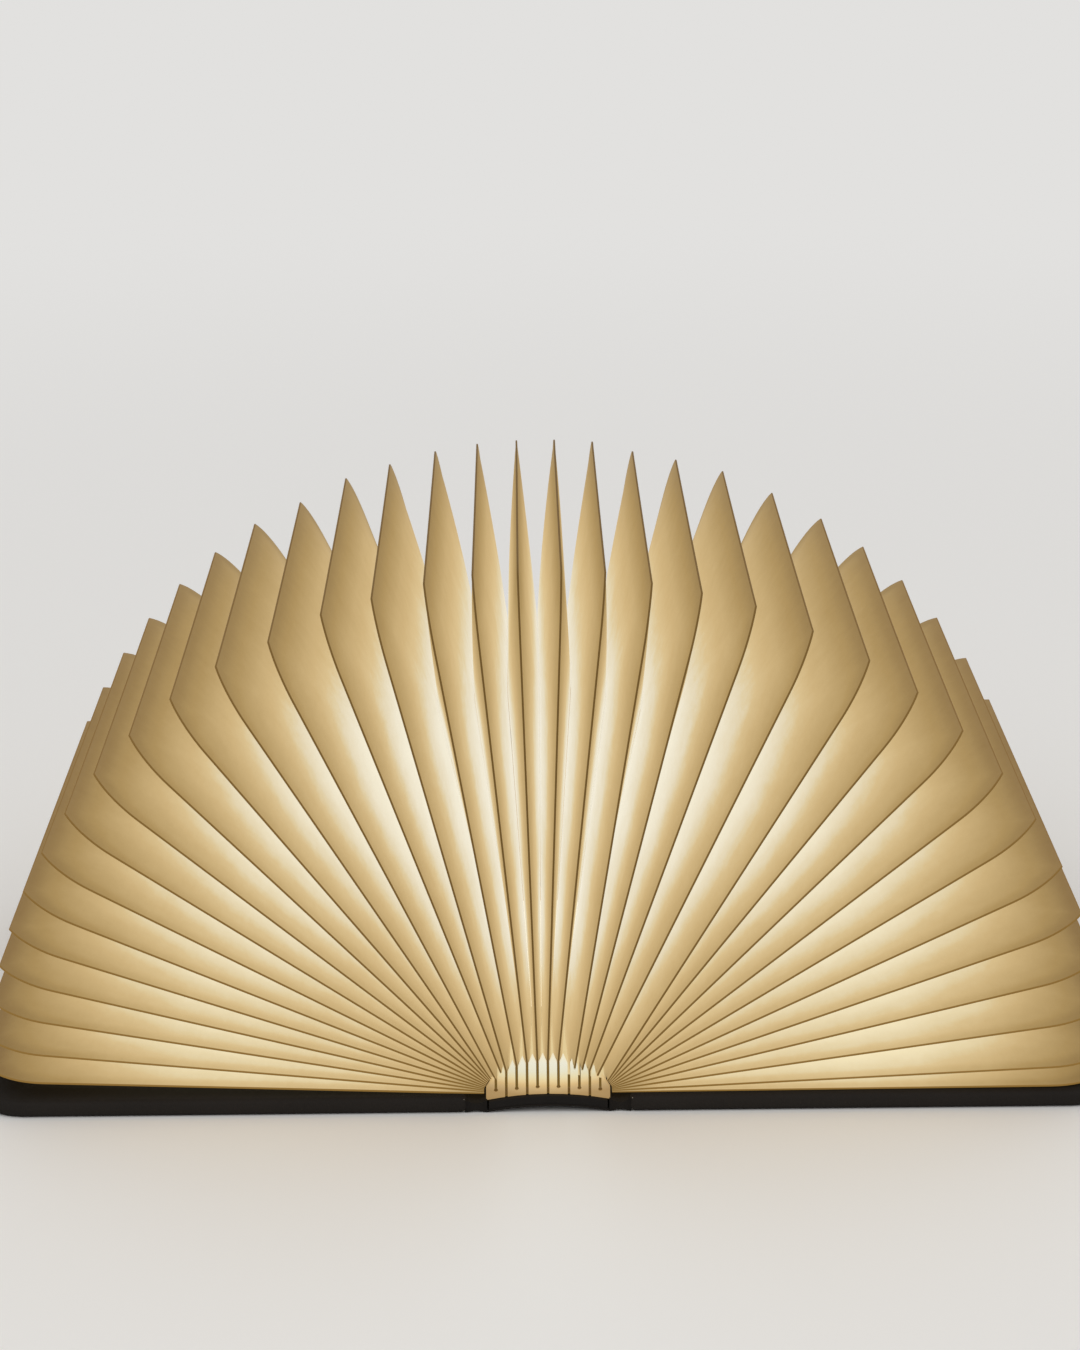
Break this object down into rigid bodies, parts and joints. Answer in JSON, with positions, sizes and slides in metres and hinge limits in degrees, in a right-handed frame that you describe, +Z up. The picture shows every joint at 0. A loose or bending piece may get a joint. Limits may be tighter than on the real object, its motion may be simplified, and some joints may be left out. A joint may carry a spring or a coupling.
{
  "type": "folding book lamp",
  "caption": "Book-shaped lamp: dark hinged covers open flat and a fan of translucent folded pages glows between them, lit from a slotted comb spine.",
  "frame": {"origin": "on the ground plane, under the middle of the spine, between the two open covers", "axes": "+Z up, +Y along the spine from the head edge to the tail edge, +X towards the fore edge of the right cover"},
  "size_m": [0.2172, 0.12, 0.1039],
  "materials": {
    "sheet": "translucent fibre sheet, lit from behind",
    "comb": "milky, lit from behind",
    "diffuser": "frosted, lit",
    "emitters": "lit",
    "cloth": "fine black book cloth",
    "core": "flexible, black",
    "cover_board": "pressed board",
    "tray": "moulded",
    "cell": "foil pouch",
    "leads": "insulated wire",
    "board": "solder mask",
    "flex": "thin film",
    "inlet": "drawn shell",
    "chip": "moulded",
    "magnet": "plated"
  },
  "bodies": {
    "spine": {"spine_core": "core", "spine_cloth": "cloth", "comb_head": "comb", "comb_tail": "comb", "cell_tray": "tray", "battery_cell": "cell", "cell_leads": "leads", "light_board": "board", "light_emitters": "emitters", "light_diffuser": "diffuser", "light_lead": "flex", "charge_board": "board", "charge_inlet": "inlet", "hall_sensor": "chip", "right_joint_cloth": "cloth", "left_joint_cloth": "cloth"},
    "right_cover": {"right_cover_board": "cover_board", "right_cover_cloth": "cloth", "right_end_leaf": "sheet", "right_cover_magnets": "magnet"},
    "left_cover": {"left_cover_board": "cover_board", "left_cover_cloth": "cloth", "left_end_leaf": "sheet", "left_cover_magnets": "magnet", "sensor_magnet": "magnet"},
    "page_01": {"page_01": "sheet"},
    "page_02": {"page_02": "sheet"},
    "page_03": {"page_03": "sheet"},
    "page_04": {"page_04": "sheet"},
    "page_05": {"page_05": "sheet"},
    "page_06": {"page_06": "sheet"},
    "page_07": {"page_07": "sheet"},
    "page_08": {"page_08": "sheet"},
    "page_09": {"page_09": "sheet"},
    "page_10": {"page_10": "sheet"},
    "page_11": {"page_11": "sheet"},
    "page_12": {"page_12": "sheet"},
    "page_13": {"page_13": "sheet"},
    "page_14": {"page_14": "sheet"},
    "page_15": {"page_15": "sheet"},
    "page_16": {"page_16": "sheet"},
    "page_17": {"page_17": "sheet"},
    "page_18": {"page_18": "sheet"},
    "page_19": {"page_19": "sheet"},
    "page_20": {"page_20": "sheet"},
    "page_21": {"page_21": "sheet"},
    "page_22": {"page_22": "sheet"},
    "page_23": {"page_23": "sheet"},
    "page_24": {"page_24": "sheet"},
    "page_25": {"page_25": "sheet"},
    "page_26": {"page_26": "sheet"},
    "page_27": {"page_27": "sheet"},
    "page_28": {"page_28": "sheet"},
    "page_29": {"page_29": "sheet"},
    "page_30": {"page_30": "sheet"},
    "page_31": {"page_31": "sheet"},
    "page_32": {"page_32": "sheet"},
    "page_33": {"page_33": "sheet"}
  },
  "joints": [
    {"name": "right_cover_fold", "type": "hinge", "parent": "spine", "child": "right_cover", "pos_m": [0.0136, 0, 0.0016], "axis": [0, -1, 0], "range_deg": [-97, 90], "deforming": ["right_joint_cloth", "right_end_leaf"]},
    {"name": "left_cover_fold", "type": "hinge", "parent": "spine", "child": "left_cover", "pos_m": [-0.0136, 0, 0.0016], "axis": [0, 1, 0], "range_deg": [-97, 90], "deforming": ["left_joint_cloth", "left_end_leaf"]},
    {"name": "page_01_turn", "type": "hinge", "parent": "spine", "child": "page_01", "pos_m": [0.01196, 0, 0.00338], "axis": [0, -1, 0], "range_deg": [-94.7, 87.9], "deforming": ["page_01"]},
    {"name": "page_02_turn", "type": "hinge", "parent": "spine", "child": "page_02", "pos_m": [0.01202, 0, 0.00338], "axis": [0, -1, 0], "range_deg": [-88.7, 82.33], "deforming": ["page_02"]},
    {"name": "page_03_turn", "type": "hinge", "parent": "spine", "child": "page_03", "pos_m": [0.01212, 0, 0.00334], "axis": [0, -1, 0], "range_deg": [-82.58, 76.65], "deforming": ["page_03"]},
    {"name": "page_04_turn", "type": "hinge", "parent": "spine", "child": "page_04", "pos_m": [0.01231, 0, 0.00325], "axis": [0, -1, 0], "range_deg": [-76.24, 70.77], "deforming": ["page_04"]},
    {"name": "page_05_turn", "type": "hinge", "parent": "spine", "child": "page_05", "pos_m": [0.01246, 0, 0.00322], "axis": [0, -1, 0], "range_deg": [-69.62, 64.63], "deforming": ["page_05"]},
    {"name": "page_06_turn", "type": "hinge", "parent": "spine", "child": "page_06", "pos_m": [0.01265, 0, 0.0032], "axis": [0, -1, 0], "range_deg": [-62.71, 58.22], "deforming": ["page_06"]},
    {"name": "page_07_turn", "type": "hinge", "parent": "spine", "child": "page_07", "pos_m": [0.01301, 0, 0.00312], "axis": [0, -1, 0], "range_deg": [-55.55, 51.57], "deforming": ["page_07"]},
    {"name": "page_08_turn", "type": "hinge", "parent": "spine", "child": "page_08", "pos_m": [0.01336, 0, 0.00322], "axis": [0, -1, 0], "range_deg": [-48.24, 44.8], "deforming": ["page_08"]},
    {"name": "page_09_turn", "type": "hinge", "parent": "spine", "child": "page_09", "pos_m": [0.01344, 0, 0.00366], "axis": [0, -1, 0], "range_deg": [-40.96, 38.04], "deforming": ["page_09"]},
    {"name": "page_10_turn", "type": "hinge", "parent": "spine", "child": "page_10", "pos_m": [0.01348, 0, 0.0041], "axis": [0, -1, 0], "range_deg": [-33.89, 31.48], "deforming": ["page_10"]},
    {"name": "page_11_turn", "type": "hinge", "parent": "spine", "child": "page_11", "pos_m": [0.0093, 0, 0.00662], "axis": [0, -1, 0], "range_deg": [-27.55, 25.6], "deforming": ["page_11"]},
    {"name": "page_12_turn", "type": "hinge", "parent": "spine", "child": "page_12", "pos_m": [0.00788, 0, 0.00779], "axis": [0, -1, 0], "range_deg": [-21.13, 19.64], "deforming": ["page_12"]},
    {"name": "page_13_turn", "type": "hinge", "parent": "spine", "child": "page_13", "pos_m": [0.00646, 0, 0.00787], "axis": [0, -1, 0], "range_deg": [-15.33, 14.26], "deforming": ["page_13"]},
    {"name": "page_14_turn", "type": "hinge", "parent": "spine", "child": "page_14", "pos_m": [0.00504, 0, 0.00821], "axis": [0, -1, 0], "range_deg": [-10.15, 9.46], "deforming": ["page_14"]},
    {"name": "page_15_turn", "type": "hinge", "parent": "spine", "child": "page_15", "pos_m": [0.00197, 0, 0.00972], "axis": [0, -1, 0], "range_deg": [-6.57, 6.13], "deforming": ["page_15"]},
    {"name": "page_16_turn", "type": "hinge", "parent": "spine", "child": "page_16", "pos_m": [0, 0, 0.0098], "axis": [0, -1, 0], "range_deg": [-2.58, 2.43], "deforming": ["page_16"]},
    {"name": "page_17_turn", "type": "hinge", "parent": "spine", "child": "page_17", "pos_m": [-0.00197, 0, 0.00972], "axis": [0, 1, 0], "range_deg": [-2.34, 2.21], "deforming": ["page_17"]},
    {"name": "page_18_turn", "type": "hinge", "parent": "spine", "child": "page_18", "pos_m": [-0.00394, 0, 0.00944], "axis": [0, 1, 0], "range_deg": [-6.48, 6.05], "deforming": ["page_18"]},
    {"name": "page_19_turn", "type": "hinge", "parent": "spine", "child": "page_19", "pos_m": [-0.00591, 0, 0.00886], "axis": [0, 1, 0], "range_deg": [-11.05, 10.29], "deforming": ["page_19"]},
    {"name": "page_20_turn", "type": "hinge", "parent": "spine", "child": "page_20", "pos_m": [-0.00788, 0, 0.00779], "axis": [0, 1, 0], "range_deg": [-16.18, 15.05], "deforming": ["page_20"]},
    {"name": "page_21_turn", "type": "hinge", "parent": "spine", "child": "page_21", "pos_m": [-0.00887, 0, 0.00744], "axis": [0, 1, 0], "range_deg": [-21.92, 20.37], "deforming": ["page_21"]},
    {"name": "page_22_turn", "type": "hinge", "parent": "spine", "child": "page_22", "pos_m": [-0.00985, 0, 0.00598], "axis": [0, 1, 0], "range_deg": [-28.16, 26.17], "deforming": ["page_22"]},
    {"name": "page_23_turn", "type": "hinge", "parent": "spine", "child": "page_23", "pos_m": [-0.01301, 0, 0.00482], "axis": [0, 1, 0], "range_deg": [-34.76, 32.29], "deforming": ["page_23"]},
    {"name": "page_24_turn", "type": "hinge", "parent": "spine", "child": "page_24", "pos_m": [-0.013, 0, 0.00434], "axis": [0, 1, 0], "range_deg": [-41.51, 38.55], "deforming": ["page_24"]},
    {"name": "page_25_turn", "type": "hinge", "parent": "spine", "child": "page_25", "pos_m": [-0.01262, 0, 0.00421], "axis": [0, 1, 0], "range_deg": [-48.19, 44.75], "deforming": ["page_25"]},
    {"name": "page_26_turn", "type": "hinge", "parent": "spine", "child": "page_26", "pos_m": [-0.01233, 0, 0.00415], "axis": [0, 1, 0], "range_deg": [-54.64, 50.74], "deforming": ["page_26"]},
    {"name": "page_27_turn", "type": "hinge", "parent": "spine", "child": "page_27", "pos_m": [-0.01218, 0, 0.00405], "axis": [0, 1, 0], "range_deg": [-60.76, 56.41], "deforming": ["page_27"]},
    {"name": "page_28_turn", "type": "hinge", "parent": "spine", "child": "page_28", "pos_m": [-0.01213, 0, 0.00391], "axis": [0, 1, 0], "range_deg": [-66.49, 61.73], "deforming": ["page_28"]},
    {"name": "page_29_turn", "type": "hinge", "parent": "spine", "child": "page_29", "pos_m": [-0.01213, 0, 0.00375], "axis": [0, 1, 0], "range_deg": [-71.88, 66.73], "deforming": ["page_29"]},
    {"name": "page_30_turn", "type": "hinge", "parent": "spine", "child": "page_30", "pos_m": [-0.01216, 0, 0.00358], "axis": [0, 1, 0], "range_deg": [-76.98, 71.46], "deforming": ["page_30"]},
    {"name": "page_31_turn", "type": "hinge", "parent": "spine", "child": "page_31", "pos_m": [-0.01213, 0, 0.00348], "axis": [0, 1, 0], "range_deg": [-81.88, 76.01], "deforming": ["page_31"]},
    {"name": "page_32_turn", "type": "hinge", "parent": "spine", "child": "page_32", "pos_m": [-0.01204, 0, 0.00346], "axis": [0, 1, 0], "range_deg": [-86.65, 80.43], "deforming": ["page_32"]},
    {"name": "page_33_turn", "type": "hinge", "parent": "spine", "child": "page_33", "pos_m": [-0.01198, 0, 0.00341], "axis": [0, 1, 0], "range_deg": [-91.36, 84.8], "deforming": ["page_33"]}
  ],
  "couplings": [
    {"joint": "page_01_turn", "follows": "right_cover_fold", "ratio": 0.97111},
    {"joint": "page_02_turn", "follows": "right_cover_fold", "ratio": 0.90923},
    {"joint": "page_03_turn", "follows": "right_cover_fold", "ratio": 0.84615},
    {"joint": "page_04_turn", "follows": "right_cover_fold", "ratio": 0.78082},
    {"joint": "page_05_turn", "follows": "right_cover_fold", "ratio": 0.7126},
    {"joint": "page_06_turn", "follows": "right_cover_fold", "ratio": 0.64132},
    {"joint": "page_07_turn", "follows": "right_cover_fold", "ratio": 0.56748},
    {"joint": "page_08_turn", "follows": "right_cover_fold", "ratio": 0.49217},
    {"joint": "page_09_turn", "follows": "right_cover_fold", "ratio": 0.41709},
    {"joint": "page_10_turn", "follows": "right_cover_fold", "ratio": 0.3442},
    {"joint": "page_11_turn", "follows": "right_cover_fold", "ratio": 0.2789},
    {"joint": "page_12_turn", "follows": "right_cover_fold", "ratio": 0.21266},
    {"joint": "page_13_turn", "follows": "right_cover_fold", "ratio": 0.15287},
    {"joint": "page_14_turn", "follows": "right_cover_fold", "ratio": 0.09951},
    {"joint": "page_15_turn", "follows": "right_cover_fold", "ratio": 0.06255},
    {"joint": "page_16_turn", "follows": "right_cover_fold", "ratio": 0.02149},
    {"joint": "page_17_turn", "follows": "left_cover_fold", "ratio": 0.019},
    {"joint": "page_18_turn", "follows": "left_cover_fold", "ratio": 0.06166},
    {"joint": "page_19_turn", "follows": "left_cover_fold", "ratio": 0.10876},
    {"joint": "page_20_turn", "follows": "left_cover_fold", "ratio": 0.1617},
    {"joint": "page_21_turn", "follows": "left_cover_fold", "ratio": 0.22079},
    {"joint": "page_22_turn", "follows": "left_cover_fold", "ratio": 0.28519},
    {"joint": "page_23_turn", "follows": "left_cover_fold", "ratio": 0.35324},
    {"joint": "page_24_turn", "follows": "left_cover_fold", "ratio": 0.42279},
    {"joint": "page_25_turn", "follows": "left_cover_fold", "ratio": 0.49169},
    {"joint": "page_26_turn", "follows": "left_cover_fold", "ratio": 0.55819},
    {"joint": "page_27_turn", "follows": "left_cover_fold", "ratio": 0.6212},
    {"joint": "page_28_turn", "follows": "left_cover_fold", "ratio": 0.68035},
    {"joint": "page_29_turn", "follows": "left_cover_fold", "ratio": 0.73589},
    {"joint": "page_30_turn", "follows": "left_cover_fold", "ratio": 0.78849},
    {"joint": "page_31_turn", "follows": "left_cover_fold", "ratio": 0.83896},
    {"joint": "page_32_turn", "follows": "left_cover_fold", "ratio": 0.88812},
    {"joint": "page_33_turn", "follows": "left_cover_fold", "ratio": 0.93667}
  ]
}
